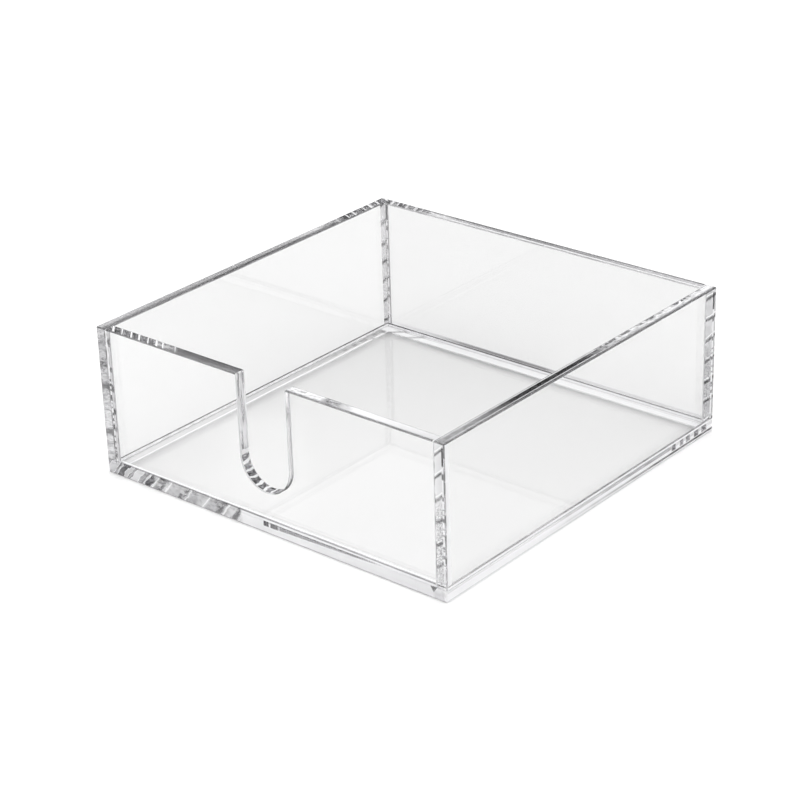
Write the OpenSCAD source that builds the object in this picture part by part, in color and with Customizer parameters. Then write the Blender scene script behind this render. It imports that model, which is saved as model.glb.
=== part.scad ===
// Napkin holder: an open square tray of clear acrylic sheet.
//
// Five flat panels. The base plate has the full outside size, and the four
// walls stand on it. The left and right walls run the full depth, so their
// end edges show at the front and at the back. The front and back walls fit
// between them. The front wall has a U-shaped finger notch, open at the top,
// for taking out the lowest napkins.
//
// Millimetres. +Z is up, the notched front wall faces -Y, and the origin is
// on the underside, in the middle of the tray.

/* [Tray] */
// Outside width, left to right
outer_w = 180; // [140:1:240]
// Outside depth, front to back
outer_d = 180; // [140:1:240]
// Height over all, underside to rim
outer_h = 66; // [50:1:100]

/* [Sheet] */
// Thickness of the sheet that the four walls are cut from
wall_t = 5; // [3:0.5:8]
// Thickness of the sheet that the base is cut from
base_t = 5; // [3:0.5:8]
// Width of the small polished bevel on every exposed edge
edge_break = 0.5; // [0.1:0.1:0.8]

/* [Finger notch] */
// Width of the notch across the front wall
notch_w = 25; // [18:1:36]
// Height of the lowest point of the notch above the underside
notch_low = 18.5; // [12:0.5:22]

/* [Hidden] */

hw = outer_w / 2;
hd = outer_d / 2;
// inside faces of the walls
iw = hw - wall_t;
id = hd - wall_t;
c = edge_break;
// the notch ends in a half circle
notch_r = notch_w / 2;
notch_z = notch_low + notch_r;
// cutters run past the faces they cut by this much
over = 1;
tint = [0.90, 0.94, 0.95, 0.35];
$fn = 96;

// rectangle with its four corners bevelled by c
module bevelled(x0, x1, y0, y1, c) {
    polygon([
        [x0 + c, y0], [x1 - c, y0], [x1, y0 + c], [x1, y1 - c],
        [x1 - c, y1], [x0 + c, y1], [x0, y1 - c], [x0, y0 + c]
    ]);
}

// the outside of the assembled tray, bevelled along all twelve edges
module envelope() {
    intersection() {
        linear_extrude(height = outer_h) bevelled(-hw, hw, -hd, hd, c);
        translate([0, hd + over, 0]) rotate([90, 0, 0])
            linear_extrude(height = outer_d + 2 * over) bevelled(-hw, hw, 0, outer_h, c);
        translate([-hw - over, 0, 0]) rotate([90, 0, 90])
            linear_extrude(height = outer_w + 2 * over) bevelled(-hd, hd, 0, outer_h, c);
    }
}

// half profile of the flare at the inner rim: straight below, c wider at the top
module flare_profile(half) {
    polygon([
        [-half, outer_h - 3 * c], [half, outer_h - 3 * c], [half, outer_h - c],
        [half + c + over, outer_h + over], [-half - c - over, outer_h + over],
        [-half, outer_h - c]
    ]);
}

// the bevel around the inside of the rim
module rim_flare() {
    intersection() {
        translate([0, hd, 0]) rotate([90, 0, 0])
            linear_extrude(height = outer_d) flare_profile(iw);
        translate([-hw, 0, 0]) rotate([90, 0, 90])
            linear_extrude(height = outer_w) flare_profile(id);
    }
}

// the U of the finger notch, flared by c where it meets the two wall faces
module notch_cutter() {
    y0 = -hd;
    y1 = -id;
    // straight sides, from the centre of the half circle to above the rim
    translate([0, 0, notch_z])
        linear_extrude(height = outer_h - notch_z + over)
            polygon([
                [-notch_r - c - over, y0 - over], [notch_r + c + over, y0 - over],
                [notch_r, y0 + c], [notch_r, y1 - c],
                [notch_r + c + over, y1 + over], [-notch_r - c - over, y1 + over],
                [-notch_r, y1 - c], [-notch_r, y0 + c]
            ]);
    // round bottom, about an axis square to the wall
    translate([0, 0, notch_z]) rotate([-90, 0, 0])
        rotate_extrude()
            polygon([
                [0, y0 - over], [notch_r + c + over, y0 - over],
                [notch_r, y0 + c], [notch_r, y1 - c],
                [notch_r + c + over, y1 + over], [0, y1 + over]
            ]);
}

// one upright panel between two corners, standing on the base
module panel(x0, x1, y0, y1) {
    difference() {
        intersection() {
            envelope();
            translate([x0, y0, base_t]) cube([x1 - x0, y1 - y0, outer_h - base_t]);
        }
        rim_flare();
    }
}

module base_plate() {
    color(tint)
    intersection() {
        envelope();
        translate([-hw, -hd, 0]) cube([outer_w, outer_d, base_t]);
    }
}

module front_wall() {
    color(tint)
    difference() {
        panel(-iw, iw, -hd, -id);
        notch_cutter();
    }
}

module back_wall() {
    color(tint) panel(-iw, iw, id, hd);
}

module left_wall() {
    color(tint) panel(-hw, -iw, -hd, hd);
}

module right_wall() {
    color(tint) panel(iw, hw, -hd, hd);
}

base_plate();
front_wall();
back_wall();
left_wall();
right_wall();
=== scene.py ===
"""Napkin holder: an open square tray of clear acrylic sheet, five cemented panels.

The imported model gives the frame. Every panel is modelled again here from its own box in the
frame, with small rounded breaks on the polished edges and finer ones where two sheets meet,
and with the cemented faces kept apart from the faces that meet the air.
"""

import math

import bmesh
import bpy
from mathutils import Matrix, Vector


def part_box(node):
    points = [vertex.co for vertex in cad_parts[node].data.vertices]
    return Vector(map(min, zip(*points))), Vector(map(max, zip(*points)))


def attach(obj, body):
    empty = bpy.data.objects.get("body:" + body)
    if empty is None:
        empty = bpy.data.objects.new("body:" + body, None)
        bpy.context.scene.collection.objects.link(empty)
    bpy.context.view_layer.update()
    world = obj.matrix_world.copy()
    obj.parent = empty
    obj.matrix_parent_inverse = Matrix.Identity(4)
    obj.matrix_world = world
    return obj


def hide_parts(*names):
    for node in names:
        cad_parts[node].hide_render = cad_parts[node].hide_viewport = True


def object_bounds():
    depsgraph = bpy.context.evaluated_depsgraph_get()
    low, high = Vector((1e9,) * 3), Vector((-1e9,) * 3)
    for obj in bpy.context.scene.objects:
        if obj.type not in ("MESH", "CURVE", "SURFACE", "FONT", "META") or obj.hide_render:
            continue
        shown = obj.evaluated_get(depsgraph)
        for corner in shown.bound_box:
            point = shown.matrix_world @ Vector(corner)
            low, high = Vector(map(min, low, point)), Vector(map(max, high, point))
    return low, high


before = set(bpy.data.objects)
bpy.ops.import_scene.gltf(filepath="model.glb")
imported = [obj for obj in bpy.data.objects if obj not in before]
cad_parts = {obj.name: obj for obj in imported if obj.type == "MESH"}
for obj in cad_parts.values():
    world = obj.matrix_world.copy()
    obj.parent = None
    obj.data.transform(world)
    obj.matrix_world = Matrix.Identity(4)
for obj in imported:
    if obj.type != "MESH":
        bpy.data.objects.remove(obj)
cad_lo, cad_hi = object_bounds()
scene = bpy.context.scene

# ---------------------------------------------------------------- sizes, in metres
W = cad_hi.x - cad_lo.x
HX = cad_hi.x
HY = cad_hi.y
TOP = cad_hi.z
BASE_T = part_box("base_plate")[1].z
WALL_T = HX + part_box("left_wall")[1].x
IX = HX - WALL_T
IY = HY - WALL_T
NOTCH_R = 0.0125
NOTCH_Z = 0.031
EDGE_R = 0.0005  # rounded break on an exposed, polished edge
SEAM_R = 0.00030  # finer break where a sheet's edge meets another sheet
FOOT = BASE_T + 0.0017  # up to here the foot of a wall carries the base edge's painted pattern, as the base is seen through it
FOOT_BACK = BASE_T + 0.0038  # up to here the inner face of the back wall carries the painted dark band of its foot
DEEP_X, DEEP_Y = 0.0023, 0.0027  # as far as a corner joint is seen through the front and the right wall

# ---------------------------------------------------------------- camera
AZ, EL, ROLL = math.radians(40.4247), math.radians(25.4862), math.radians(-1.8247)
DIST, TARGET, FOCAL = 5.2945, (0.5705, 0.3742, 0.2), 2361.15


def make_camera():
    back = Vector((math.sin(AZ) * math.cos(EL), -math.cos(AZ) * math.cos(EL), math.sin(EL)))
    right = Vector((math.cos(AZ), math.sin(AZ), 0))
    up = back.cross(right)
    r = right * math.cos(ROLL) + up * math.sin(ROLL)
    u = -right * math.sin(ROLL) + up * math.cos(ROLL)
    at = Vector((TARGET[0] - 0.5, TARGET[1] - 0.5, TARGET[2])) * W + back * DIST * W
    data = bpy.data.cameras.new("camera")
    data.sensor_width = 36
    data.lens = 36 * FOCAL / 800
    data.clip_start, data.clip_end = 0.05, 50
    cam = bpy.data.objects.new("camera", data)
    scene.collection.objects.link(cam)
    cam.matrix_world = Matrix(
        ((r.x, u.x, back.x, at.x), (r.y, u.y, back.y, at.y), (r.z, u.z, back.z, at.z), (0, 0, 0, 1))
    )
    scene.camera = cam


make_camera()


# ---------------------------------------------------------------- materials
class Nodes:
    """Short names for the nodes that the procedural materials are made of."""

    def __init__(self, name):
        self.mat = bpy.data.materials.new(name)
        self.mat.use_nodes = True
        self.nt = self.mat.node_tree
        self.nt.nodes.clear()
        self.out = self.new("ShaderNodeOutputMaterial")
        self.co = self.new("ShaderNodeTexCoord").outputs["Object"]
        sep = self.new("ShaderNodeSeparateXYZ")
        self.nt.links.new(self.co, sep.inputs[0])
        self.x, self.y, self.z = sep.outputs

    def new(self, kind):
        return self.nt.nodes.new(kind)

    def put(self, value, socket):
        if isinstance(value, bpy.types.NodeSocket):
            self.nt.links.new(value, socket)
        else:
            socket.default_value = value

    def math(self, op, a, b=None, clamp=False):
        n = self.new("ShaderNodeMath")
        n.operation, n.use_clamp = op, clamp
        self.put(a, n.inputs[0])
        if b is not None:
            self.put(b, n.inputs[1])
        return n.outputs[0]

    def remap(self, v, a, b, c, d, smooth=True):
        n = self.new("ShaderNodeMapRange")
        n.interpolation_type = "SMOOTHSTEP" if smooth else "LINEAR"
        self.put(v, n.inputs["Value"])
        for key, val in zip(("From Min", "From Max", "To Min", "To Max"), (a, b, c, d)):
            self.put(val, n.inputs[key])
        return n.outputs["Result"]

    def vec(self, x, y, z):
        n = self.new("ShaderNodeCombineXYZ")
        for v, s in zip((x, y, z), n.inputs):
            self.put(v, s)
        return n.outputs[0]

    def noise(self, vector, scale, detail=2.0, rough=0.5):
        n = self.new("ShaderNodeTexNoise")
        self.put(vector, n.inputs["Vector"])
        n.inputs["Scale"].default_value = scale
        n.inputs["Detail"].default_value = detail
        n.inputs["Roughness"].default_value = rough
        return n.outputs["Fac"]

    def ramp(self, fac, stops, mode="LINEAR"):
        n = self.new("ShaderNodeValToRGB")
        n.color_ramp.interpolation = mode
        els = n.color_ramp.elements
        while len(els) < len(stops):
            els.new(0.5)
        for e, (pos, v) in zip(els, stops):
            e.position = pos
            e.color = (v, v, v, 1)
        self.put(fac, n.inputs["Fac"])
        return n.outputs["Color"]

    def bump(self, height, strength, distance):
        n = self.new("ShaderNodeBump")
        n.inputs["Strength"].default_value = strength
        n.inputs["Distance"].default_value = distance
        self.put(height, n.inputs["Height"])
        return n.outputs["Normal"]

    def blend(self, fac, a, b):
        n = self.new("ShaderNodeMix")
        n.data_type = "FLOAT"
        for v, s in zip((fac, a, b), (n.inputs[0], n.inputs[2], n.inputs[3])):
            self.put(v, s)
        return n.outputs[0]

    def stops(self, v, lo, hi, stops):
        """A curve over a length: the stops are places in metres with a value at each."""
        t = self.remap(v, lo, hi, 0.0, 1.0, smooth=False)
        return self.ramp(t, [((s - lo) / (hi - lo), value) for s, value in stops])

    def glass(self, color, rough, normal=None, pale=None):
        """Acrylic of one brightness, faintly cool; where pale is above 0 a lit white diffuse is mixed in: partly a
        milky haze, mostly painted light standing in for the bright light the surface shows.
        """
        g = self.new("ShaderNodeBsdfGlass")
        cool = [self.math("MULTIPLY", color, k) for k in (0.990, 0.985)]
        self.put(self.vec(*cool, color), g.inputs["Color"])
        self.put(rough, g.inputs["Roughness"])
        g.inputs["IOR"].default_value = 1.49
        if normal is not None:
            self.put(normal, g.inputs["Normal"])
        shader = g.outputs[0]
        # painted light: the white diffuse mixed in here makes the glass read as bright light seen through it
        if pale is not None:
            d = self.new("ShaderNodeBsdfDiffuse")
            d.inputs["Color"].default_value = (0.93, 0.93, 0.94, 1)
            mix = self.new("ShaderNodeMixShader")
            self.put(pale, mix.inputs[0])
            self.nt.links.new(shader, mix.inputs[1])
            self.nt.links.new(d.outputs[0], mix.inputs[2])
            shader = mix.outputs[0]
        self.nt.links.new(shader, self.out.inputs["Surface"])
        return self.mat


def face_material(name, tint, haze):
    """A cast face: clear, with the faint waviness and handling haze of sheet acrylic.

    The tint is what is left of the light after a sheet; light kept inside the sheet is not dimmed. All the sheets are
    the same acrylic, so the different tints given to the walls and the base are painted shade.
    """
    m = Nodes(name)
    p = m.new("ShaderNodeBsdfPrincipled")
    p.inputs["Base Color"].default_value = (tint, tint, tint, 1)
    p.inputs["Transmission Weight"].default_value = 1.0
    p.inputs["IOR"].default_value = 1.49
    m.put(m.remap(m.noise(m.co, 60.0, 4.0, 0.6), 0.40, 0.75, haze * 0.4, haze), p.inputs["Roughness"])
    m.put(m.bump(m.noise(m.co, 22.0, 1.0), 0.25, 0.00004), p.inputs["Normal"])
    m.nt.links.new(p.outputs[0], m.out.inputs["Surface"])
    return m.mat


def edge_material(name, axis, tint, dash=(), shade=(), across=(), pale=(), flecks=(), ticks=(), rough=(0.0, 0.03)):
    """A cut and buffed edge that runs along one axis.

    Most of the edge's dark and white is painted light and shade: what the edge shows of its surroundings through the
    sheet is painted into its colour.
    dash: where the corner joint shows through as dashes in the edge, painted in: the end (-1 or 1), how far the dashes
    reach, the darkest and the lightest they are, how much painted light whitens their gaps, how far they lean and
    how far apart they are.
    shade: places along the axis with how dark the edge is painted there (painted shade).
    across: the axis over the edge and places along it, with how dark the edge is painted there (painted shade).
    pale: patches of painted light, each with places along the axis, the axis over the edge and places along
    it, all with how much lit white is mixed in there, and places along the axis with how blotchy the patch is.
    flecks: places along the axis with how strongly small dark flecks show there.
    ticks: a row of short grey strokes: the axis over the edge and places along it, places along
    the edge, how far apart the strokes are and how clear they are.
    """
    m = Nodes(name)
    place = {"x": m.x, "y": m.y, "z": m.z}
    along = place[axis]
    drag = m.noise(m.vec(*[m.math("MULTIPLY", v, 0.05 if k == axis else 1.0) for k, v in place.items()]), 900.0, 2.0)
    body = m.remap(drag, 0.3, 0.7, tint - 0.10, min(tint + 0.06, 0.99))
    milk_and_painted_light = 0.0
    # painted shade: shade and across darken the edge along it and over it
    if shade:
        body = m.math("MULTIPLY", body, m.stops(along, -HX, HX, shade))
    if across:
        body = m.math("MULTIPLY", body, m.stops(place[across[0]], *across[1:3], across[3]))
    stretch = m.vec(*[m.math("MULTIPLY", v, 0.30 if k == axis else 1.0) for k, v in place.items()])
    spots = m.ramp(m.noise(stretch, 1050.0, 2.0), [(0.42, 0.0), (0.52, 1.0)])
    # painted light: the pale patches mix in lit white
    for run, over, lo, hi, places, blotchy in pale:
        one = m.math("MULTIPLY", m.stops(along, -HX, HX, run), m.stops(place[over], lo, hi, places))
        one = m.math("MULTIPLY", one, m.blend(m.stops(along, -HX, HX, blotchy), 1.0, spots))
        milk_and_painted_light = m.math("MAXIMUM", milk_and_painted_light, one)
    if flecks:
        small = m.vec(*[m.math("MULTIPLY", v, 0.38 if k == axis else 1.0) for k, v in place.items()])
        fleck = m.ramp(m.noise(small, 820.0, 2.0, 0.6), [(0.50, 0.0), (0.56, 1.0)])
        fleck = m.math("MULTIPLY", fleck, m.stops(along, -HX, HX, flecks))
        body = m.math("MULTIPLY", body, m.blend(fleck, 1.0, 0.68))
        milk_and_painted_light = m.math("MULTIPLY", milk_and_painted_light, m.math("SUBTRACT", 1.0, m.math("MULTIPLY", fleck, 0.75)))
    if ticks:
        over, lo, hi, places, run, apart, clear = ticks
        beat = m.math("FRACT", m.math("ADD", m.math("DIVIDE", along, apart), m.math("MULTIPLY", m.noise(m.vec(m.y, m.x, 0.0), 130.0, 1.0), 2.0)))
        tick = m.math("MULTIPLY", m.ramp(beat, [(0.0, 0.0), (0.08, 1.0), (0.60, 1.0), (0.70, 0.0), (1.0, 0.0)]), m.stops(place[over], lo, hi, places))
        tick = m.math("MULTIPLY", tick, m.math("MULTIPLY", m.stops(along, -HX, HX, run), m.remap(m.noise(m.co, 420.0, 2.0), 0.40, 0.56, 0.35, 1.0)))
        body = m.math("MULTIPLY", body, m.blend(tick, 1.0, clear))
        milk_and_painted_light = m.math("MULTIPLY", milk_and_painted_light, m.math("SUBTRACT", 1.0, tick))
    if dash:
        end, reach, dark, light, gap, lean, apart = dash
        other = m.y if axis == "x" else m.x
        run = m.math("ADD", along, m.math("MULTIPLY", other, lean))
        wob = m.noise(m.vec(run, 0.0, 0.0), 170.0, 1.0)
        phase = m.math("FRACT", m.math("ADD", m.math("DIVIDE", run, apart), m.math("MULTIPLY", wob, 1.6)))
        near = m.remap(m.math("SUBTRACT", HX, m.math("MULTIPLY", along, float(end))), reach - 0.007, reach + 0.005, 1.0, 0.0)
        comb = m.noise(m.vec(run, 0.0, 0.0), 1500.0, 1.0)
        patch = m.math("ADD", m.math("MULTIPLY", comb, 0.55), m.math("MULTIPLY", m.noise(m.co, 560.0, 3.0, 0.6), 0.45))
        block = m.ramp(phase, [(0.0, 0.0), (0.05, 1.0), (0.74, 1.0), (0.79, 0.0), (1.0, 0.0)])
        # painted image of the corner joint: dark dashes, their gaps whitened as painted light
        body = m.blend(near, body, m.blend(block, 1.0, m.remap(patch, 0.42, 0.58, dark, light)))
        gaps = m.ramp(phase, [(0.0, 0.0), (0.77, 0.0), (0.82, gap), (0.94, gap), (1.0, 0.0)])
        flecks = m.math("MULTIPLY", block, m.ramp(patch, [(0.56, 0.0), (0.60, 0.45)]))
        milk_and_painted_light = m.math("MAXIMUM", milk_and_painted_light, m.math("MULTIPLY", near, m.math("MAXIMUM", gaps, flecks)))
    return m.glass(body, m.remap(drag, 0.3, 0.7, *rough), m.bump(drag, 0.2, 0.00002), milk_and_painted_light)


def base_front_material(name):
    """The front edge of the base: slanting streaks and blocks at the left, clear at the right; its white is painted
    light.
    """
    m = Nodes(name)
    drift = m.math("MULTIPLY", m.noise(m.co, 240.0, 2.0), 0.004)
    slant = m.math("ADD", m.math("SUBTRACT", m.x, m.math("MULTIPLY", m.z, 0.9)), drift)
    bands = m.noise(m.vec(slant, 0.0, 0.0), 190.0, 1.0)
    cells = m.noise(m.co, 260.0, 1.0)
    strong = m.ramp(bands, [(0.38, 0.45), (0.43, 0.58), (0.45, 0.97), (0.55, 1.0), (0.57, 0.60), (0.62, 0.75)])
    lean = m.math("ADD", m.math("SUBTRACT", m.x, m.math("MULTIPLY", m.math("SUBTRACT", m.z, 0.0025), 0.8)), m.math("MULTIPLY", m.math("SUBTRACT", m.noise(m.co, 300.0, 2.0), 0.5), 0.0022))
    mottle = m.remap(m.noise(m.vec(m.math("MULTIPLY", lean, 0.5), 0.0, m.z), 520.0, 2.0), 0.42, 0.60, 0.0, 1.0)
    streak = m.stops(lean, -HX, HX, [(-0.0630, 0.0), (-0.0622, 1.0), (-0.0580, 0.8), (-0.0570, 0.0), (-0.0490, 0.0), (-0.0480, 0.9), (-0.0460, 0.9), (-0.0448, 0.0), (-0.0330, 0.0), (-0.0318, 0.3), (-0.0286, 0.3), (-0.0276, 1.0), (-0.0254, 1.0), (-0.0244, 0.0), (-0.0194, 0.0), (-0.0184, 1.0), (-0.0164, 1.0), (-0.0154, 0.0)])
    streak = m.math("MULTIPLY", streak, m.blend(mottle, 1.0, 0.25))
    plain = m.stops(lean, -HX, HX, [(-0.0620, 0.80), (-0.0565, 0.84), (-0.0562, 1.0), (-0.0552, 1.0), (-0.0548, 0.80), (-0.0440, 0.84), (-0.0436, 0.74), (-0.0360, 0.78), (-0.0352, 1.0), (-0.0342, 1.0), (-0.0334, 0.76), (-0.0240, 0.80), (-0.0150, 0.90)])
    plain = m.math("MULTIPLY", plain, m.remap(m.noise(m.co, 420.0, 2.0), 0.35, 0.65, 0.94, 1.04))
    soft = m.blend(streak, plain, 0.50)
    body = m.blend(m.stops(m.x, -HX, HX, [(-0.0645, 0.0), (-0.0615, 1.0), (0.09, 1.0)]), strong, soft)
    body = m.blend(m.stops(m.x, -HX, HX, [(-0.0155, 0.0), (-0.0135, 1.0), (0.075, 1.0), (0.083, 0.92), (0.09, 0.86)]), body, 1.0)
    code = m.ramp(m.math("FRACT", m.math("DIVIDE", m.x, 0.0012)), [(0.0, 0.6), (0.3, 0.12), (0.85, 0.12), (1.0, 0.6)])
    code = m.blend(m.remap(m.x, 0.0052, 0.0060, 0.0, 1.0), code, m.remap(code, 0.12, 0.6, 0.34, 0.8, smooth=False))
    level = m.math("SUBTRACT", m.z, m.math("MULTIPLY", m.x, 0.012))
    row = m.stops(level, 0.0, 0.008, [(0.0029, 0.0), (0.0032, 1.0), (0.0050, 1.0), (0.0053, 0.0)])
    row = m.math("MULTIPLY", row, m.stops(m.x, -HX, HX, [(-0.0028, 0.0), (-0.0025, 1.0), (0.0000, 1.0), (0.0003, 0.0), (0.0007, 0.0), (0.0010, 0.9), (0.0050, 0.9), (0.0054, 0.0)]))
    reach = m.remap(m.x, 0.005, 0.060, 0.0030, 0.0041, smooth=False)
    tail = m.math("MULTIPLY", m.remap(level, reach, m.math("ADD", reach, 0.0003), 0.0, 1.0), m.remap(level, 0.0048, 0.0051, 1.0, 0.0))
    tail = m.math("MULTIPLY", tail, m.stops(m.x, -HX, HX, [(0.0052, 0.0), (0.0060, 0.95), (0.046, 0.9), (0.061, 0.0)]))
    row = m.math("MAXIMUM", row, tail)
    tip = m.math("SUBTRACT", m.z, m.math("MULTIPLY", m.math("ABSOLUTE", m.math("SUBTRACT", m.x, 0.0836)), 1.4))
    tip = m.math("MULTIPLY", m.stops(tip, 0.0, 0.008, [(0.0025, 0.0), (0.0030, 1.0)]), m.stops(m.z, 0.0, 0.008, [(0.0048, 1.0), (0.0052, 0.0)]))
    body = m.blend(tip, body, 0.35)
    body = m.blend(row, body, code)
    dull = m.math("MULTIPLY", m.remap(body, 0.5, 0.9, 0.0, 1.0), m.math("SUBTRACT", 1.0, m.math("MAXIMUM", row, tip)))
    # painted light: white streaks and rims at the left
    white = m.ramp(bands, [(0.435, 0.0), (0.445, 0.9), (0.465, 0.9), (0.475, 0.0), (0.535, 0.0), (0.545, 0.9), (0.555, 0.9), (0.565, 0.0)])
    white = m.math("MULTIPLY", white, m.stops(m.x, -HX, HX, [(-0.085, 1.0), (-0.064, 1.0), (-0.061, 0.0)]))
    rim = m.stops(lean, -HX, HX, [(-0.0640, 0.0), (-0.0636, 0.9), (-0.0628, 0.9), (-0.0624, 0.0), (-0.0566, 0.0), (-0.0562, 0.9), (-0.0553, 0.9), (-0.0549, 0.0), (-0.0446, 0.0), (-0.0443, 0.8), (-0.0438, 0.8), (-0.0434, 0.0), (-0.0354, 0.0), (-0.0350, 0.9), (-0.0342, 0.9), (-0.0338, 0.0), (-0.0242, 0.0), (-0.0239, 0.8), (-0.0232, 0.8), (-0.0229, 0.0), (-0.0152, 0.0), (-0.0149, 0.8), (-0.0142, 0.8), (-0.0138, 0.0)])
    white = m.math("MAXIMUM", white, rim)
    # painted light: lit white mixed in along the edge
    base = m.stops(m.x, -HX, HX, [(-0.085, 0.36), (-0.078, 0.52), (-0.060, 0.62), (-0.052, 0.48), (-0.024, 0.52), (-0.0155, 0.60), (-0.0135, 0.85), (-0.009, 0.85), (0.000, 0.75), (0.060, 0.62), (0.083, 0.50), (0.0845, 0.30), (0.0885, 0.30), (0.0895, 0.8)])
    milk_and_painted_light = m.math("MAXIMUM", white, m.math("MULTIPLY", base, dull))
    thin = m.stops(m.x, -HX, HX, [(-0.050, 0.85), (-0.015, 0.45), (0.050, 0.35), (0.085, 0.22)])
    line = m.blend(m.stops(m.z, 0.0, 0.008, [(0.0061, 0.0), (0.0064, 1.0), (0.0067, 1.0)]), 1.0, thin)
    milk_and_painted_light = m.math("MULTIPLY", milk_and_painted_light, m.stops(m.z, 0.0, 0.008, [(0.0060, 1.0), (0.0064, 0.2), (0.0067, 0.2)]))
    grain = m.remap(m.noise(m.co, 900.0, 3.0), 0.3, 0.7, 0.95, 1.0)
    return m.glass(m.math("MULTIPLY", m.math("MULTIPLY", body, line), grain), m.remap(cells, 0.3, 0.7, 0.02, 0.06), None, milk_and_painted_light)


def base_right_material(name):
    """The right edge of the base: long strips, with a few small blocks near the back."""
    m = Nodes(name)
    top = 0.008
    strips = m.stops(m.z, 0.0, top, [(0.0005, 0.88), (0.0009, 1.0), (0.0013, 1.0), (0.0016, 0.90), (0.0020, 1.0), (0.0036, 1.0), (0.0040, 0.88), (0.0050, 0.88), (0.0054, 1.0), (0.0062, 1.0), (0.0064, 0.50), (0.0067, 0.50)])
    wave = m.noise(m.vec(m.x, m.math("MULTIPLY", m.y, 0.12), m.z), 420.0, 2.0)
    body = m.math("MULTIPLY", strips, m.remap(wave, 0.35, 0.65, 0.90, 1.0))
    middle = m.math("MULTIPLY", m.stops(m.z, 0.0, top, [(0.0034, 0.0), (0.0038, 1.0), (0.0050, 1.0), (0.0054, 0.0)]), m.stops(m.y, -HY, HY, [(-0.060, 0.0), (0.000, 0.4), (0.035, 1.0), (0.057, 1.0), (0.060, 0.0)]))
    body = m.blend(middle, body, 0.72)
    heel = m.math("MULTIPLY", m.stops(m.z, 0.0, top, [(0.0011, 0.0), (0.0014, 1.0), (0.0020, 1.0), (0.0024, 0.0)]), m.stops(m.y, -HY, HY, [(-0.030, 0.0), (0.020, 0.5), (0.050, 1.0)]))
    body = m.blend(heel, body, 0.50)
    wob = m.noise(m.vec(m.y, 0.0, 0.0), 120.0, 1.0)
    phase = m.math("FRACT", m.math("ADD", m.math("DIVIDE", m.y, 0.0056), wob))
    squares = m.ramp(phase, [(0.0, 0.0), (0.08, 1.0), (0.55, 1.0), (0.65, 0.0), (1.0, 0.0)])
    row = m.stops(m.z, 0.0, top, [(0.0024, 0.0), (0.0028, 1.0), (0.0050, 1.0), (0.0054, 0.0)])
    here = m.math("MULTIPLY", row, m.stops(m.y, -HY, HY, [(0.056, 0.0), (0.060, 1.0), (0.086, 1.0), (0.088, 0.0)]))
    here = m.math("MULTIPLY", here, squares)
    body = m.blend(here, body, m.remap(m.noise(m.co, 800.0, 2.0), 0.4, 0.6, 0.66, 0.92))
    # painted light: lit white in the bands of the edge
    milk_and_painted_light = m.stops(m.z, 0.0, top, [(0.0005, 0.4), (0.0009, 0.85), (0.0036, 0.85), (0.0040, 0.60), (0.0050, 0.60), (0.0054, 0.9), (0.0060, 0.9), (0.0063, 0.1)])
    here = m.math("MAXIMUM", here, m.math("MAXIMUM", m.math("MULTIPLY", middle, 0.6), heel))
    milk_and_painted_light = m.math("MULTIPLY", milk_and_painted_light, m.math("SUBTRACT", 1.0, here))
    return m.glass(body, m.remap(wave, 0.35, 0.65, 0.02, 0.05), None, milk_and_painted_light)


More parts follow.
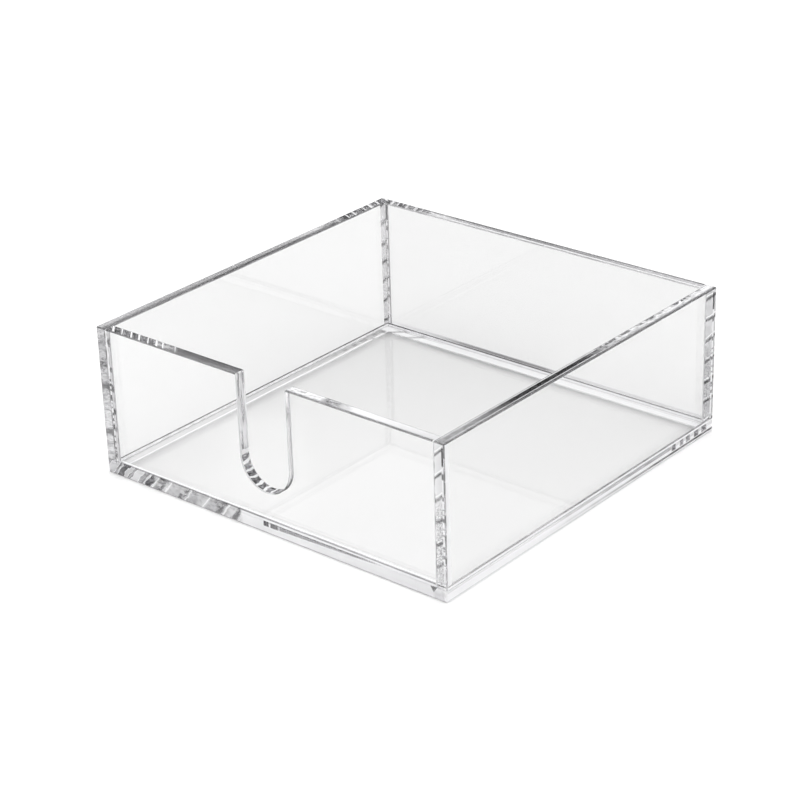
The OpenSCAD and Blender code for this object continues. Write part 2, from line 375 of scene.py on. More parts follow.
def base_top_material(name, tint, haze):
    """The upper face of the base: as the other faces, with a white run along the foot of the walls that is partly the
    cement's run and partly painted light, painted shade beside it, and a patch of painted light behind the notch.
    """
    m = Nodes(name)
    wob = m.math("MULTIPLY", m.math("SUBTRACT", m.noise(m.co, 45.0, 2.0), 0.5), 0.0008)
    back = m.math("ADD", m.math("SUBTRACT", IY, m.y), wob)
    left = m.math("ADD", m.math("ADD", m.x, IX), wob)
    far = 0.012
    # painted shadow: the floor seen through the base is darkened along the foot of the back and left walls
    clear = m.math(
        "MULTIPLY",
        m.stops(back, 0.0, far, [(0.0, 1.0), (0.0052, 1.0), (0.0058, 0.96), (0.0065, 0.92), (0.0074, 0.98), (0.0084, 1.0)]),
        m.blend(
            m.stops(m.y, -HY, HY, [(-0.085, 0.15), (-0.020, 0.55), (0.060, 1.0)]),
            1.0,
            m.stops(left, 0.0, far, [(0.0, 0.98), (0.0014, 0.86), (0.0024, 0.90), (0.0032, 1.0), (0.0044, 1.0), (0.0052, 0.84), (0.0060, 0.80), (0.0072, 0.88), (0.0086, 0.96), (0.0100, 1.0)]),
        ),
    )
    # partly the cement's run, partly painted light: white bands along the feet of the back and left walls
    milk_and_painted_light = m.math(
        "MAXIMUM",
        m.stops(back, 0.0, far, [(0.0, 0.60), (0.0005, 0.78), (0.0014, 0.85), (0.0042, 0.85), (0.0050, 0.45), (0.0058, 0.0)]),
        m.stops(left, 0.0, far, [(0.0, 0.25), (0.0006, 0.10), (0.0026, 0.10), (0.0033, 0.60), (0.0040, 0.85), (0.0047, 0.20), (0.0052, 0.0)]),
    )
    # painted light: more white along the left foot towards the front
    extra = m.math("MULTIPLY", m.stops(left, 0.0, far, [(0.0003, 0.0), (0.0008, 0.55), (0.0028, 0.55), (0.0034, 0.0)]), m.stops(m.y, -HY, HY, [(-0.085, 1.0), (0.000, 0.7), (0.055, 0.1)]))
    milk_and_painted_light = m.math("MAXIMUM", milk_and_painted_light, extra)
    cross = m.math("ADD", m.x, m.math("MULTIPLY", back, 1.2))
    milk_and_painted_light = m.math("MULTIPLY", milk_and_painted_light, m.stops(cross, -0.09, 0.0, [(-0.0755, 1.0), (-0.0745, 0.35), (-0.0728, 0.35), (-0.0718, 1.0), (-0.0650, 1.0), (-0.0640, 0.35), (-0.0620, 0.35), (-0.0610, 1.0)]))
    front = m.math("ADD", m.y, IY)
    milk_and_painted_light = m.math("MAXIMUM", milk_and_painted_light, m.stops(front, 0.0, far, [(0.0, 0.9), (0.0012, 0.9), (0.0018, 0.0)]))
    step = m.math("FRACT", m.math("ADD", m.math("DIVIDE", m.y, 0.0068), m.noise(m.vec(m.y, 0.0, 0.0), 90.0, 1.0)))
    square = m.math("MULTIPLY", m.ramp(step, [(0.0, 1.0), (0.42, 1.0), (0.48, 0.0), (0.96, 0.0), (1.0, 1.0)]), m.stops(m.y, 0.0, HY, [(0.042, 0.0), (0.050, 1.0)]))
    square = m.math("MULTIPLY", square, m.stops(left, 0.0, far, [(0.0006, 0.0), (0.0009, 1.0), (0.0026, 1.0), (0.0029, 0.0)]))
    clear = m.math("MULTIPLY", clear, m.blend(square, 1.0, 0.50))
    fine = m.math("MULTIPLY", m.stops(front, 0.0, far, [(0.0018, 0.0), (0.0021, 1.0), (0.0026, 1.0), (0.0029, 0.0)]), m.stops(m.x, -HX, HX, [(-0.035, 0.0), (-0.010, 1.0)]))
    clear = m.math("MULTIPLY", clear, m.blend(fine, 1.0, 0.80))
    # painted shade: a darker line along the foot of the back wall
    under = m.math("MULTIPLY", m.stops(back, 0.0, far, [(0.0006, 0.0), (0.0009, 1.0), (0.0013, 1.0), (0.0017, 0.0)]), m.stops(m.x, -HX, HX, [(-0.082, 0.0), (-0.075, 0.5), (-0.060, 0.3), (-0.048, 0.0), (0.020, 0.0), (0.080, 0.25)]))
    clear = m.math("MULTIPLY", clear, m.blend(under, 1.0, 0.55))
    milk_and_painted_light = m.math("MULTIPLY", milk_and_painted_light, m.math("SUBTRACT", 1.0, under))
    p = m.new("ShaderNodeBsdfPrincipled")
    # painted light: a broad soft patch on the floor of the tray, behind the notch, is made brighter
    across = m.stops(m.math("ADD", m.x, m.y), -0.18, 0.0, [(-0.150, 0.0), (-0.115, 0.4), (-0.095, 1.0), (-0.074, 1.0), (-0.056, 0.0)])
    along = m.stops(m.math("SUBTRACT", m.x, m.y), -0.10, 0.12, [(-0.065, 0.0), (-0.040, 1.0), (0.030, 1.0), (0.070, 0.6), (0.110, 0.0)])
    tone = m.math("MULTIPLY", m.math("MULTIPLY", clear, tint), m.blend(m.math("MULTIPLY", across, along), 1.0, 1.085))
    m.put(m.vec(tone, tone, tone), p.inputs["Base Color"])
    p.inputs["Transmission Weight"].default_value = 1.0
    p.inputs["IOR"].default_value = 1.49
    m.put(m.remap(m.noise(m.co, 60.0, 4.0, 0.6), 0.40, 0.75, haze * 0.4, haze), p.inputs["Roughness"])
    m.put(m.bump(m.noise(m.co, 22.0, 1.0), 0.25, 0.00004), p.inputs["Normal"])
    d = m.new("ShaderNodeBsdfDiffuse")
    d.inputs["Color"].default_value = (0.93, 0.93, 0.94, 1)
    mix = m.new("ShaderNodeMixShader")
    m.put(milk_and_painted_light, mix.inputs[0])
    m.nt.links.new(p.outputs[0], mix.inputs[1])
    m.nt.links.new(d.outputs[0], mix.inputs[2])
    m.nt.links.new(mix.outputs[0], m.out.inputs["Surface"])
    return m.mat


def foot_material(name):
    """The foot of the back wall's inner face: a painted dark band, the painted reflection of the dark surroundings seen
    through the wall's foot, with a white line of painted light below it.
    """
    m = Nodes(name)
    high = m.math("SUBTRACT", m.z, BASE_T)
    dark = m.stops(m.x, -HX, HX, [(-0.085, 1.0), (-0.068, 0.92), (-0.056, 0.78), (-0.048, 0.60), (-0.040, 0.44), (-0.030, 0.36), (-0.005, 0.34), (0.006, 0.40), (0.013, 0.80), (0.085, 0.86)])
    band = m.stops(high, 0.0, 0.005, [(0.0014, 0.0), (0.0016, 0.55), (0.0020, 0.60), (0.0023, 1.0), (0.0030, 1.0), (0.0036, 0.0)])
    body = m.math("MULTIPLY", m.blend(band, 1.0, dark), m.remap(m.noise(m.co, 120.0, 2.0), 0.35, 0.65, 0.860, 0.884))
    milk_and_painted_light = m.math("MULTIPLY", m.stops(high, 0.0, 0.005, [(0.0, 0.7), (0.0011, 0.7), (0.0015, 0.0)]), m.stops(m.x, -HX, HX, [(-0.085, 0.2), (-0.060, 0.3), (-0.045, 0.9), (0.085, 0.9)]))
    return m.glass(body, 0.01, None, milk_and_painted_light)


def notch_material(name, tint):
    """The edge of the finger notch: clear and buffed on the straight parts, with dashes down the round."""
    m = Nodes(name)
    drag = m.noise(m.vec(m.math("MULTIPLY", m.x, 1.0), m.math("MULTIPLY", m.y, 1.0), m.math("MULTIPLY", m.z, 0.08)), 700.0, 2.0)
    body = m.remap(drag, 0.3, 0.7, tint - 0.10, min(tint + 0.05, 0.99))
    angle = m.math("ARCTAN2", m.math("SUBTRACT", m.z, NOTCH_Z), m.x)
    wob = m.math("MULTIPLY", m.noise(m.co, 220.0, 1.0), 0.5)
    phase = m.math("FRACT", m.math("ADD", m.math("DIVIDE", angle, math.radians(17)), m.math("MULTIPLY", wob, 2.0)))
    low = m.remap(m.z, NOTCH_Z + 0.001, NOTCH_Z + 0.004, 1.0, 0.0)
    left = m.remap(m.x, 0.001, 0.006, 1.0, 0.0)
    here = m.math("MULTIPLY", low, left)
    patch = m.remap(m.noise(m.co, 900.0, 2.0), 0.40, 0.58, 0.24, 0.90)
    block = m.ramp(phase, [(0.0, 1.0), (0.60, 1.0), (0.65, 0.0), (0.95, 0.0), (1.0, 1.0)])
    body = m.blend(here, body, m.blend(block, 1.0, patch))
    # painted light: lit white in the gaps of the dashes, along the straight parts, high on the left and at the step
    gaps = m.math("MULTIPLY", here, m.ramp(phase, [(0.0, 0.0), (0.60, 0.0), (0.66, 0.8), (0.90, 0.8), (0.96, 0.0)]))
    plain = m.math("MULTIPLY", m.remap(m.x, 0.008, 0.012, 0.0, 0.35), m.stops(m.y, -HY, -IY, [(-0.0896, 0.2), (-0.0890, 1.0), (-0.0874, 1.0), (-0.0868, 0.3), (-0.0862, 0.8), (-0.0855, 0.8)]))
    upper = m.math("MULTIPLY", m.remap(m.x, -0.012, -0.010, 1.0, 0.0), m.math("MULTIPLY", m.remap(m.z, NOTCH_Z, NOTCH_Z + 0.003, 0.0, 1.0), m.remap(drag, 0.40, 0.60, 0.15, 0.70)))
    step = m.math("MULTIPLY", left, m.stops(m.z, 0.02, 0.04, [(NOTCH_Z - 0.0006, 0.0), (NOTCH_Z, 0.8), (NOTCH_Z + 0.0014, 0.8), (NOTCH_Z + 0.0022, 0.0)]))
    gaps = m.math("MAXIMUM", m.math("MAXIMUM", gaps, plain), m.math("MAXIMUM", upper, step))
    return m.glass(body, m.remap(drag, 0.3, 0.7, 0.0, 0.03), None, gaps)


def corner_material(name, tint, rough, milk_and_painted_light, side, lo, hi, force, lean, glow):
    """The outer faces over a corner joint, sanded flush and buffed: slanting marks and a grey haze.

    side, lo, hi: where the border of the joint runs, which is broken into dark and white pieces.
    lean: how steeply the marks rise. glow: how much painted light whitens the white pieces.
    The slanting marks are partly the sanding and partly painted reflection, the grey haze is painted light, and the
    tints of the corners, set apart from each other, are painted shade.
    """
    m = Nodes(name)
    slant = m.math("SUBTRACT", m.z, m.math("MULTIPLY", m.math("ADD", m.x, m.y), lean))
    wob = m.math("MULTIPLY", m.noise(m.co, 130.0, 2.0), 0.0035)
    phase = m.math("FRACT", m.math("DIVIDE", m.math("ADD", slant, wob), 0.0094))
    deep = m.remap(m.noise(m.co, 70.0, 1.0), 0.35, 0.6, 0.15, 0.50)
    marks = m.ramp(phase, [(0.0, 0.0), (0.09, 0.0), (0.13, 1.0), (0.20, 1.0), (0.24, 0.6), (0.30, 0.9), (0.36, 0.75), (0.90, 0.75), (1.0, 0.0)])
    clear = m.remap(marks, 0.0, 1.0, m.math("MULTIPLY", deep, tint), min(tint * 1.3, 1.0), smooth=False)
    hatch = m.remap(m.noise(m.vec(m.x, m.y, m.math("MULTIPLY", slant, 1.8)), 1000.0, 3.0, 0.65), 0.38, 0.62, 0.66, 1.12)
    lower = m.stops(m.z, 0.0, TOP, [(0.036, 1.0), (0.046, 0.0)])
    clear = m.math("MULTIPLY", clear, m.blend(lower, 1.0, hatch))
    grain = m.remap(m.noise(m.co, 900.0, 3.0), 0.3, 0.7, 0.94, 1.0)
    # painted light: lit white between and along the marks
    shine = m.ramp(phase, [(0.0, 0.0), (0.12, milk_and_painted_light), (0.14, 0.9), (0.18, 0.9), (0.21, milk_and_painted_light), (0.90, milk_and_painted_light), (1.0, 0.0)])
    shine = m.math("MULTIPLY", shine, m.blend(lower, 1.0, m.remap(hatch, 0.70, 1.05, 0.35, 1.0)))
    border = m.stops({"x": m.x, "y": m.y}[side], lo - 0.0005, hi + 0.0005, [(lo - 0.0002, 0.0), (lo, 1.0), (hi, 1.0), (hi + 0.0002, 0.0)])
    dots = m.ramp(m.noise(m.vec(0.0, 0.0, m.z), 330.0, 2.0), [(0.44, 1.0), (0.48, 0.0)])
    dots = m.math("MULTIPLY", dots, m.stops(m.z, 0.0, TOP, [(0.045, 0.8), (0.047, 0.0)]))
    bar = m.stops(m.z, 0.0, TOP, [(0.0510, 0.0), (0.0516, 0.9), (0.0536, 0.9), (0.0542, 0.0), (0.0564, 0.0), (0.0570, 1.0), (0.0640, 1.0), (0.0648, 0.2)])
    dark = m.math("MULTIPLY", border, m.math("MAXIMUM", dots, bar))
    clear = m.blend(m.math("MULTIPLY", dark, force), m.math("MULTIPLY", clear, grain), 0.12)
    shine = m.math("MULTIPLY", shine, m.math("SUBTRACT", 1.0, m.math("MULTIPLY", dark, force)))
    gap = m.math("MULTIPLY", border, m.math("SUBTRACT", 1.0, dark))
    clear = m.blend(m.math("MULTIPLY", gap, force), clear, 1.0)
    white = m.math("MULTIPLY", gap, glow)
    return m.glass(clear, rough, None, m.math("MAXIMUM", shine, white))


def slant_banded_material(name):
    """The outer faces over the front left joint: slanting darker bands across them, and a white line at the seam that
    is a painted highlight along the edge.
    """
    m = Nodes(name)
    wob = m.math("MULTIPLY", m.math("SUBTRACT", m.noise(m.co, 190.0, 2.0), 0.5), 0.0045)
    level = m.math("ADD", m.math("SUBTRACT", m.z, m.math("MULTIPLY", m.math("ADD", m.x, 0.0875), 0.29)), wob)
    broad = m.stops(level, 0.0, 0.070, [
        (0.0040, 0.90), (0.0055, 0.50), (0.0066, 0.90), (0.0084, 0.90), (0.0095, 0.55), (0.0106, 0.94), (0.0130, 0.92), (0.0140, 0.60),
        (0.0154, 0.90), (0.0166, 0.90), (0.0180, 0.34), (0.0200, 0.38), (0.0214, 0.92), (0.0284, 0.96), (0.0292, 0.55), (0.0302, 0.96),
        (0.0368, 0.88), (0.0386, 0.24), (0.0404, 0.30), (0.0422, 0.84), (0.0484, 0.88), (0.0496, 0.36), (0.0508, 0.42), (0.0524, 0.84),
        (0.0560, 0.80), (0.0585, 0.55), (0.0602, 0.58), (0.0620, 0.76),
    ])
    streak = m.noise(m.vec(m.math("MULTIPLY", m.x, 0.6), m.math("MULTIPLY", m.y, 0.6), m.math("MULTIPLY", level, 2.0)), 560.0, 3.0, 0.6)
    low = m.stops(m.z, 0.0, TOP, [(0.030, 1.0), (0.045, 0.0)])
    mottle = m.math("MAXIMUM", m.remap(streak, 0.38, 0.62, 0.74, 1.02), m.math("MULTIPLY", low, m.remap(streak, 0.38, 0.62, 0.82, 1.04)))
    clear = m.math("MULTIPLY", broad, mottle)
    seam = m.math("ADD", m.x, m.math("MULTIPLY", m.math("SUBTRACT", m.noise(m.vec(0.0, 0.0, m.z), 260.0, 2.0), 0.5), 0.0018))
    line = m.stops(seam, -0.087, -0.082, [(-0.0853, 0.0), (-0.0850, 1.0), (-0.0842, 1.0), (-0.0839, 0.0)])
    dots = m.ramp(m.noise(m.vec(0.0, 0.0, m.z), 380.0, 2.0), [(0.48, 0.0), (0.52, 1.0)])
    dots = m.math("MULTIPLY", dots, m.stops(m.z, 0.0, TOP, [(0.006, 1.0), (0.044, 1.0), (0.046, 0.0)]))
    inner = m.stops(m.x, -0.087, -0.082, [(-0.0841, 0.0), (-0.0838, 1.0)])
    beside = m.math("ADD", m.z, m.math("MULTIPLY", m.math("SUBTRACT", m.noise(m.co, 420.0, 2.0), 0.5), 0.0016))
    spots = m.stops(beside, 0.0, TOP, [(0.0200, 0.0), (0.0208, 0.5), (0.0220, 0.5), (0.0228, 0.0), (0.0280, 0.0), (0.0288, 1.0), (0.0302, 1.0), (0.0312, 0.0), (0.0378, 0.0), (0.0388, 0.8), (0.0414, 0.8), (0.0424, 0.0), (0.0468, 0.0), (0.0476, 0.8), (0.0488, 0.8), (0.0498, 0.0), (0.0580, 0.0), (0.0590, 0.8), (0.0614, 0.8), (0.0626, 0.0)])
    spots = m.math("MULTIPLY", spots, m.stops(seam, -0.087, -0.080, [(-0.0842, 0.0), (-0.0837, 1.0), (-0.0828, 1.0), (-0.0822, 0.3)]))
    run = m.blend(spots, m.remap(streak, 0.38, 0.62, 0.84, 0.96), 0.28)
    clear = m.blend(m.math("MULTIPLY", m.math("MULTIPLY", line, dots), 0.8), m.blend(inner, clear, run), 0.25)
    # painted light: lit white mixed into the lighter bands
    painted_light_level = m.math("ADD", m.remap(streak, 0.38, 0.62, 0.20, 0.50), m.math("MULTIPLY", low, 0.16))
    milk_and_painted_light = m.blend(inner, m.math("MULTIPLY", broad, painted_light_level), m.math("MULTIPLY", m.math("SUBTRACT", 1.0, spots), 0.42))
    milk_and_painted_light = m.blend(line, milk_and_painted_light, m.math("MULTIPLY", m.math("SUBTRACT", 1.0, dots), 0.9))
    return m.glass(clear, 0.12, None, milk_and_painted_light)


def notch_break_material(name):
    """The break around the finger notch: dark only low on the right."""
    m = Nodes(name)
    n = m.noise(m.co, 90.0, 1.0)
    here = m.math("MULTIPLY", m.remap(m.z, NOTCH_Z - 0.006, NOTCH_Z + 0.002, 1.0, 0.0), m.remap(m.x, 0.002, 0.006, 0.0, 1.0))
    return m.glass(m.blend(here, m.remap(n, 0.3, 0.7, 0.60, 0.95), 0.30), 0.12, None, m.blend(here, 0.55, 0.0))


def break_material(name, tint, dashed, milk_and_painted_light=None):
    """The narrow break along an edge: painted darker than the faces (painted shade), and whitened with lit white,
    painted light, where its last argument is above 0.
    """
    m = Nodes(name)
    n = m.noise(m.co, 260.0 if dashed else 90.0, 1.0)
    color = m.ramp(n, [(0.44, 0.20), (0.47, tint), (0.53, tint), (0.56, 1.0)]) if dashed else m.remap(n, 0.3, 0.7, tint * 0.75, tint * 1.25)
    return m.glass(color, 0.12, None, milk_and_painted_light)


def cement(name, clear):
    """A cemented joint: clear, with the tide marks that the solvent leaves."""
    m = Nodes(name)
    n = m.noise(m.co, 240.0, 3.0)
    t = m.new("ShaderNodeBsdfTransparent")
    m.put(m.remap(n, 0.35, 0.65, clear - 0.10, min(clear + 0.04, 1.0)), t.inputs["Color"])
    m.nt.links.new(t.outputs[0], m.out.inputs["Surface"])
    return m.mat


MATERIALS = {
    # painted shade: one acrylic, tinted differently for each wall and the base so each reads as lit or shaded as it
    # looks
    "wall": face_material("acrylic_wall_face", 0.808, 0.006),
    "back": face_material("acrylic_back_face", 0.782, 0.006),
    "front": face_material("acrylic_front_face", 1.0, 0.006),
    "right": face_material("acrylic_right_face", 0.955, 0.006),
    "base": face_material("acrylic_base_face", 0.872, 0.03),
    "base_top": base_top_material("acrylic_base_top", 0.872, 0.03),
    "joint": cement("cemented_joint", 0.97),
    "joint_z": cement("cemented_joint_upright", 0.92),
    # painted light and shade: each rim's shade, across, flecks, ticks and dashes darken it and its pale patches whiten
    # it
    "edge_front": edge_material(
        "cut_edge_front", "x", 0.93, (-1, 0.043, 0.34, 1.0, 0.9, 0.9, 0.0049),
        across=("y", -HY, -IY, [(-0.0887, 1.0), (-0.0881, 0.80), (-0.0872, 1.0), (-0.0860, 1.0), (-0.0854, 0.70)]),
        flecks=[(0.011, 0.0), (0.014, 0.45), (0.022, 0.4), (0.029, 0.1), (0.031, 0.7), (0.038, 0.7), (0.043, 0.2), (0.048, 0.0)],
        shade=[(-0.056, 0.85), (-0.049, 0.72), (-0.044, 0.46), (-0.028, 0.50), (-0.008, 0.68), (0.012, 1.0), (0.029, 1.0), (0.031, 0.80), (0.039, 0.82), (0.047, 1.0)],
        pale=(
            (
                [(-0.060, 0.0), (-0.057, 0.45), (-0.051, 0.35), (-0.046, 0.0), (0.011, 0.0), (0.013, 0.9), (0.029, 0.9), (0.031, 0.25), (0.038, 0.40), (0.046, 0.9), (0.060, 0.8), (0.085, 0.6)],
                "y", -HY, -IY, [(-0.0896, 0.0), (-0.0888, 0.8), (-0.0880, 1.0)],
                [(-0.045, 1.0), (0.0, 0.5), (0.020, 0.4), (0.030, 0.3), (0.040, 0.0), (0.085, 0.0)],
            ),
        ),
    ),
    "edge_back": edge_material(
        "cut_edge_back", "x", 0.93, (-1, 0.030, 0.34, 0.95, 0.5, 0.4, 0.0043), shade=[(-0.060, 0.85), (0.020, 0.95), (0.080, 1.0)],
        across=("y", IY, HY, [(HY - 0.0020, 1.0), (HY - 0.0014, 0.62), (HY - 0.0006, 0.62)]),
        pale=(
            (
                [(-0.070, 0.0), (-0.055, 0.7), (0.088, 0.8)],
                "y", IY, HY, [(IY, 1.0), (IY + 0.0012, 1.0), (IY + 0.0018, 0.25), (HY - 0.0020, 0.25), (HY - 0.0016, 0.0)],
                [(-0.085, 0.2), (0.085, 0.1)],
            ),
            (
                [(-0.088, 0.0), (-0.063, 0.1), (-0.059, 0.85), (-0.052, 0.85), (-0.045, 0.35), (0.0, 0.15), (0.06, 0.4)],
                "y", IY, HY, [(IY, 0.6), (IY + 0.001, 0.8), (HY - 0.0020, 0.8), (HY - 0.0012, 0.3)],
                [(-0.085, 1.0), (-0.060, 0.6), (-0.045, 0.2), (0.085, 0.2)],
            ),
        ),
    ),
    "edge_left": edge_material(
        "cut_edge_left", "y", 0.93, (1, 0.034, 0.36, 1.0, 0.8, 0.4, 0.0054), shade=[(-0.080, 0.78), (-0.060, 0.74), (-0.030, 0.78), (0.000, 0.70), (0.030, 0.74), (0.060, 0.88)],
        across=("x", -HX, -IX, [(-0.0875, 1.0), (-0.0866, 0.60), (-0.0856, 0.66)]),
        pale=(
            (
                [(-0.088, 0.30), (-0.040, 0.12), (0.010, 0.10), (0.031, 0.25), (0.042, 0.65), (0.052, 0.5), (0.060, 0.0)],
                "x", -HX, -IX, [(-HX, 0.8), (-0.0878, 0.8), (-0.0862, 0.15)],
                [(0.030, 0.2), (0.060, 1.0), (0.085, 1.0)],
            ),
        ),
    ),
    "edge_right": edge_material(
        "cut_edge_right", "y", 0.93, flecks=[(-0.010, 0.0), (0.006, 0.5), (0.030, 0.35), (0.078, 0.3), (0.085, 0.0)],
        shade=[(-0.0890, 0.60), (-0.0862, 0.60), (-0.0845, 0.92), (-0.072, 0.84), (-0.060, 0.58), (-0.044, 0.34), (-0.006, 0.40), (0.003, 0.72), (0.014, 1.0)],
        ticks=("x", IX, HX, [(0.0851, 0.0), (0.0854, 1.0), (0.0866, 1.0), (0.0871, 0.0)], [(0.004, 0.0), (0.014, 0.8), (0.080, 0.9), (0.086, 0.0)], 0.0088, 0.62),
        across=("x", IX, HX, [(0.0851, 0.55), (0.0854, 0.60), (0.0856, 0.95), (0.0862, 0.60), (0.0870, 0.34), (0.0880, 0.36), (0.0887, 0.95), (0.0890, 0.95), (0.0894, 0.70)]),
        pale=(
            (
                [(0.002, 0.0), (0.016, 0.5), (0.030, 0.85), (0.085, 0.9)],
                "x", IX, HX, [(0.0851, 0.7), (0.0860, 1.0), (0.0882, 1.0), (0.0890, 0.2), (0.0900, 0.0)],
                [(-0.085, 0.0), (0.010, 0.55), (0.025, 0.40), (0.085, 0.20)],
            ),
            (
                [(-0.088, 0.4), (-0.060, 0.6), (0.010, 0.75), (0.030, 0.4)],
                "x", IX, HX, [(0.0855, 0.0), (0.0857, 1.0), (0.0861, 1.0), (0.0863, 0.0), (0.0884, 0.0), (0.0886, 0.8), (0.0889, 0.8), (0.0891, 0.0)],
                [(-0.085, 0.2), (0.085, 0.2)],
            ),
            (
                [(-0.088, 0.40), (-0.070, 0.30), (-0.045, 0.0)],
                "x", IX, HX, [(IX, 1.0), (HX, 0.6)],
                [(-0.085, 0.3), (0.085, 0.3)],
            ),
        ),
    ),
    "notch": notch_material("cut_edge_notch", 1.0),
    "foot_back": foot_material("acrylic_back_foot"),
    "base_edge": edge_material("cut_edge_base", "z", 0.97, rough=(0.0, 0.03)),
    "base_front": base_front_material("cut_edge_base_front"),
    "base_right": base_right_material("cut_edge_base_right"),
    "corner_a": slant_banded_material("corner_zone_front_left"),
    # painted shade: the corners get different tints as lit and shaded copies; corner_pale is lit white, painted light
    "corner_b": corner_material("corner_zone_back_left", 0.78, 0.05, 0.25, "x", -0.0862, -0.0853, 0.9, 0.15, 0.0),
    "corner_c": corner_material("corner_zone_back_right", 1.0, 0.08, 0.50, "y", 0.0874, 0.0884, 0.9, 0.10, 0.8),
    "corner_d": corner_material("corner_zone_front_right", 1.0, 0.12, 0.66, "x", 0.0888, 0.0896, 0.9, 0.8, 0.8),
    # painted shade and light: the breaks and seams are darkened by their tints and whitened by their last values
    "corner_pale": break_material("corner_zone_pale", 0.78, False, 0.85),
    "break": break_material("edge_break", 0.36, False, 0.10),
    "break_back": break_material("edge_break_back", 0.50, False, 0.30),
    "break_notch": notch_break_material("notch_break"),
    "break_far": break_material("edge_break_far", 0.78, False, 0.6),
    "break_low": break_material("base_break", 0.50, False, 0.25),
    "break_low_pale": break_material("base_break_pale", 0.78, False, 0.8),
    "break_z": break_material("edge_break_upright", 0.85, True, 0.2),
    "seam": break_material("seam_break", 0.85, False, 0.4),
    "seam_far": break_material("seam_break_far", 0.22, False),
    "seam_z": break_material("seam_break_upright", 0.78, False, 0.9),
}
SLOTS = list(MATERIALS)

# ---------------------------------------------------------------- panels
EPS = 1e-6


def in_joint(name, c, n):
    """True if the point c with normal n on this panel lies where it is cemented to another."""
    up, side, front = abs(n.z) > 0.99, abs(n.x) > 0.99, abs(n.y) > 0.99
    if name == "base_plate":
        return up and abs(c.z - BASE_T) < EPS and (abs(c.x) > IX or abs(c.y) > IY)
    if up and abs(c.z - BASE_T) < EPS:
        return True
    if name in ("front_wall", "back_wall"):
        return side and abs(abs(c.x) - IX) < EPS
    return side and abs(abs(c.x) - IX) < EPS and abs(c.y) > IY


def build(name, outline=None):
    lo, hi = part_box(name)
    bm = bmesh.new()
    if outline is None:
        outline = [(lo.x, lo.z), (hi.x, lo.z), (hi.x, hi.z), (lo.x, hi.z)]
    front = [bm.verts.new((x, lo.y, z)) for x, z in outline]
    back = [bm.verts.new((x, hi.y, z)) for x, z in outline]
    n = len(outline)
    bm.faces.new(front)
    bm.faces.new(back[::-1])
    for i in range(n):
        j = (i + 1) % n
        bm.faces.new((front[j], front[i], back[i], back[j]))
    bmesh.ops.recalc_face_normals(bm, faces=bm.faces)
    # how wide each edge's break is
    weight = bm.edges.layers.float.new("bevel_weight_edge")
    for e in bm.edges:
        a, b = e.verts[0].co, e.verts[1].co
        if len(e.link_faces) != 2 or e.calc_face_angle() < math.radians(30):
            continue
        m = (a + b) / 2
        joined = [in_joint(name, f.calc_center_median(), f.normal) for f in e.link_faces]
        outer = abs(abs(m.x) - HX) < EPS or abs(abs(m.y) - HY) < EPS
        if all(joined):
            w = 0.0
        elif any(joined):
            w = SEAM_R
        elif name == "base_plate" and abs(m.z - BASE_T) < EPS:
            w = SEAM_R
        else:
            w = EDGE_R
        e[weight] = w / EDGE_R
    me = bpy.data.meshes.new(name + "_panel")
    bm.to_mesh(me)
    bm.free()
    ob = bpy.data.objects.new(name + "_panel", me)
    scene.collection.objects.link(ob)
    mod = ob.modifiers.new("break", "BEVEL")
    mod.limit_method = "WEIGHT"
    mod.offset_type = "OFFSET"
    mod.width = EDGE_R
    mod.segments = 4
    mod.use_clamp_overlap = False
    dg = bpy.context.evaluated_depsgraph_get()
    made = bpy.data.meshes.new_from_object(ob.evaluated_get(dg))
    ob.modifiers.clear()
    ob.data = made
    bpy.data.meshes.remove(me)
    # cut the faces that are cemented only along their border
    bm = bmesh.new()
    bm.from_mesh(made)
    cuts = []
    if name == "base_plate":
        cuts = [((s * v, 0, 0), (1, 0, 0)) for s in (-1, 1) for v in (IX + SEAM_R, HX - SEAM_R)]
        cuts += [((0, s * v, 0), (0, 1, 0)) for s in (-1, 1) for v in (IY + SEAM_R, HY - SEAM_R)]
    else:
        cuts = [((0, 0, FOOT_BACK if name == "back_wall" else FOOT), (0, 0, 1))]
    if name in ("left_wall", "right_wall"):
        cuts += [((0, s * (IY + SEAM_R), 0), (0, 1, 0)) for s in (-1, 1)]
    if name == "right_wall":
        cuts += [((0, v, 0), (0, 1, 0)) for v in (DEEP_Y - HY, IY - DEEP_Y)]
    if name == "front_wall":
        cuts += [((DEEP_X - IX, 0, 0), (1, 0, 0))]
    for co, no in cuts:
        bmesh.ops.bisect_plane(
            bm, geom=bm.verts[:] + bm.edges[:] + bm.faces[:], plane_co=co, plane_no=no, dist=1e-7
        )
    for f in bm.faces:
        f.material_index = SLOTS.index(kind(name, f.calc_center_median(), f.normal))
    bm.normal_update()
    bm.to_mesh(made)
    bm.free()
    for m in MATERIALS.values():
        made.materials.append(m)
    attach(ob, "root")
    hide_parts(name)
    return ob


def touches(name, c, n):
    """True where the two sheets really meet, inside the fine breaks at the seam."""
    g = SEAM_R
    up, side = abs(n.z) > 0.99, abs(n.x) > 0.99
    if name == "base_plate":
        if not (up and abs(c.z - BASE_T) < EPS):
            return False
        ring = (IX + g < abs(c.x) < HX - g and abs(c.y) < HY - g) or (
            IY + g < abs(c.y) < HY - g and abs(c.x) < HX - g
        )
        return ring
    if up and abs(c.z - BASE_T) < EPS:
        return True
    if name in ("front_wall", "back_wall"):
        return side and abs(abs(c.x) - IX) < EPS
    return side and abs(abs(c.x) - IX) < EPS and abs(c.y) > IY + g


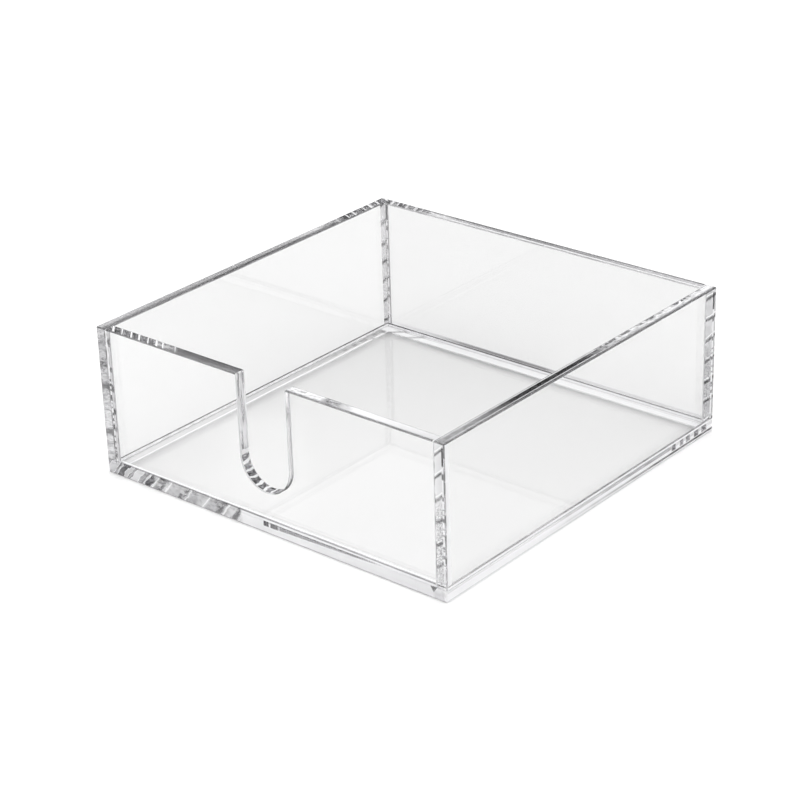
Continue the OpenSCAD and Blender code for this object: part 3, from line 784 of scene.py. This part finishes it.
def kind(name, c, n):
    """Which of the materials a face of a panel has."""
    ax, ay, az = abs(n.x), abs(n.y), abs(n.z)
    if touches(name, c, n):
        return "joint" if az > 0.99 else "joint_z"
    in_notch = name == "front_wall" and abs(c.x) < NOTCH_R + EDGE_R and c.z > NOTCH_Z - NOTCH_R - EDGE_R
    if in_notch and ay < 0.01:
        return "notch"
    if max(ax, ay, az) < 0.9999:
        if c.z < BASE_T + EDGE_R and (name != "base_plate" or c.z > BASE_T / 2):
            if c.y < SEAM_R - HY:
                return "base_front"
            if c.x > HX - SEAM_R:
                return "base_right"
            return "seam_far" if c.x < SEAM_R - HX or c.y > HY - SEAM_R else "seam"
        if name == "base_plate" and az > 0.01:
            return "break_low_pale" if ax > 0.01 and c.x > 0 else "break_low"
        if name in ("front_wall", "back_wall") and abs(c.x) > IX - EDGE_R:
            return "seam_z"
        if in_notch:
            return "break_notch"
        if az < 0.01 and c.x < 0 < c.y:
            return "break_far"
        return "break_z" if az < 0.01 else "break_back" if name == "back_wall" else "break"
    if name == "base_plate":
        if az > 0.99:
            return "base_top" if n.z > 0 else "base"
        return "base_front" if n.y < -0.99 else "base_right" if n.x > 0.99 else "base_edge"
    if az > 0.99:
        return "edge_" + name.split("_")[0]
    if c.z < FOOT and (n.y < -0.99 and c.y < EPS - HY or n.x > 0.99 and c.x > HX - EPS):
        return "base_front" if n.y < -0.99 else "base_right"
    if name == "back_wall" and n.y < -0.99 and c.z < FOOT_BACK:
        return "foot_back"
    if name == "front_wall" and n.y < -0.99 and c.x < DEEP_X - IX:
        return "corner_a"
    if name == "right_wall" and n.x > 0.99 and not DEEP_Y - HY < c.y < IY - DEEP_Y:
        return "corner_c" if c.y > 0 else "corner_pale"
    if name in ("left_wall", "right_wall"):
        if ay > 0.99 or (abs(c.x) > HX - EPS and c.y > IY):
            return "corner_" + ("ad" if c.y < 0 else "bc")[c.x > 0]
    return {"front_wall": "front", "right_wall": "right", "back_wall": "back"}.get(name, "wall")


def notched_outline():
    lo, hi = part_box("front_wall")
    pts = [(lo.x, lo.z), (hi.x, lo.z), (hi.x, hi.z), (NOTCH_R, hi.z)]
    steps = 120
    for i in range(steps + 1):
        a = -math.pi * i / steps
        pts.append((NOTCH_R * math.cos(a), NOTCH_Z + NOTCH_R * math.sin(a)))
    pts += [(-NOTCH_R, hi.z), (lo.x, hi.z)]
    return pts


panels = [
    build("base_plate"),
    build("front_wall", notched_outline()),
    build("back_wall"),
    build("left_wall"),
    build("right_wall"),
]


# ---------------------------------------------------------------- floor and light
def make_floor():
    me = bpy.data.meshes.new("floor")
    s = 6.0
    me.from_pydata([(-s, -s, 0), (s, -s, 0), (s, s, 0), (-s, s, 0)], [], [(0, 1, 2, 3)])
    ob = bpy.data.objects.new("floor", me)
    ob.location.z = -0.00005
    scene.collection.objects.link(ob)
    m = Nodes("floor_white")
    d = m.new("ShaderNodeBsdfDiffuse")
    m.put(m.ramp(m.noise(m.co, 14.0, 3.0), [(0.3, 0.960), (0.7, 0.970)]), d.inputs["Color"])
    m.nt.links.new(d.outputs[0], m.out.inputs["Surface"])
    me.materials.append(m.mat)


make_floor()


SKY = 1.50
PALE_WALL = [(0.0, 0.62), (0.30, 0.62), (0.50, 0.66), (0.66, 1.0), (1.0, 1.0)]
GREY_WALL = [(0.0, 0.42), (0.30, 0.40), (0.50, 0.46), (0.66, 1.0), (1.0, 1.0)]


def make_world():
    """A white ceiling of light, with grey walls that are paler behind the tray on the left."""
    w = bpy.data.worlds.new("studio")
    scene.world = w
    w.use_nodes = True
    nt = w.node_tree
    nt.nodes.clear()
    out = nt.nodes.new("ShaderNodeOutputWorld")
    bg = nt.nodes.new("ShaderNodeBackground")
    tc = nt.nodes.new("ShaderNodeTexCoord")
    sep = nt.nodes.new("ShaderNodeSeparateXYZ")
    nt.links.new(tc.outputs["Generated"], sep.inputs[0])

    def ramp(fac, stops):
        n = nt.nodes.new("ShaderNodeValToRGB")
        els = n.color_ramp.elements
        while len(els) < len(stops):
            els.new(0.5)
        for e, (pos, v) in zip(els, stops):
            e.position = pos
            e.color = (v, v, v, 1)
        nt.links.new(fac, n.inputs["Fac"])
        return n.outputs["Color"]

    dot = nt.nodes.new("ShaderNodeVectorMath")
    dot.operation = "DOT_PRODUCT"
    nt.links.new(tc.outputs["Generated"], dot.inputs[0])
    dot.inputs[1].default_value = (-0.648, 0.761, 0)
    side = nt.nodes.new("ShaderNodeMapRange")
    side.interpolation_type = "SMOOTHSTEP"
    side.inputs["From Min"].default_value = 0.45
    side.inputs["From Max"].default_value = 0.75
    nt.links.new(dot.outputs["Value"], side.inputs["Value"])
    pale = ramp(sep.outputs["Z"], PALE_WALL)
    grey = ramp(sep.outputs["Z"], GREY_WALL)
    mix = nt.nodes.new("ShaderNodeMix")
    mix.data_type = "RGBA"
    nt.links.new(side.outputs["Result"], mix.inputs[0])
    nt.links.new(grey, mix.inputs[6])
    nt.links.new(pale, mix.inputs[7])
    nt.links.new(mix.outputs[2], bg.inputs["Color"])
    bg.inputs["Strength"].default_value = SKY
    nt.links.new(bg.outputs[0], out.inputs["Surface"])


make_world()

scene.view_settings.view_transform = "Standard"
scene.cycles.max_bounces = 64
scene.cycles.transmission_bounces = 64
scene.cycles.glossy_bounces = 64
scene.cycles.diffuse_bounces = 4
scene.cycles.transparent_max_bounces = 64
scene.cycles.caustics_refractive = True
scene.cycles.caustics_reflective = True
scene.cycles.blur_glossy = 0.0
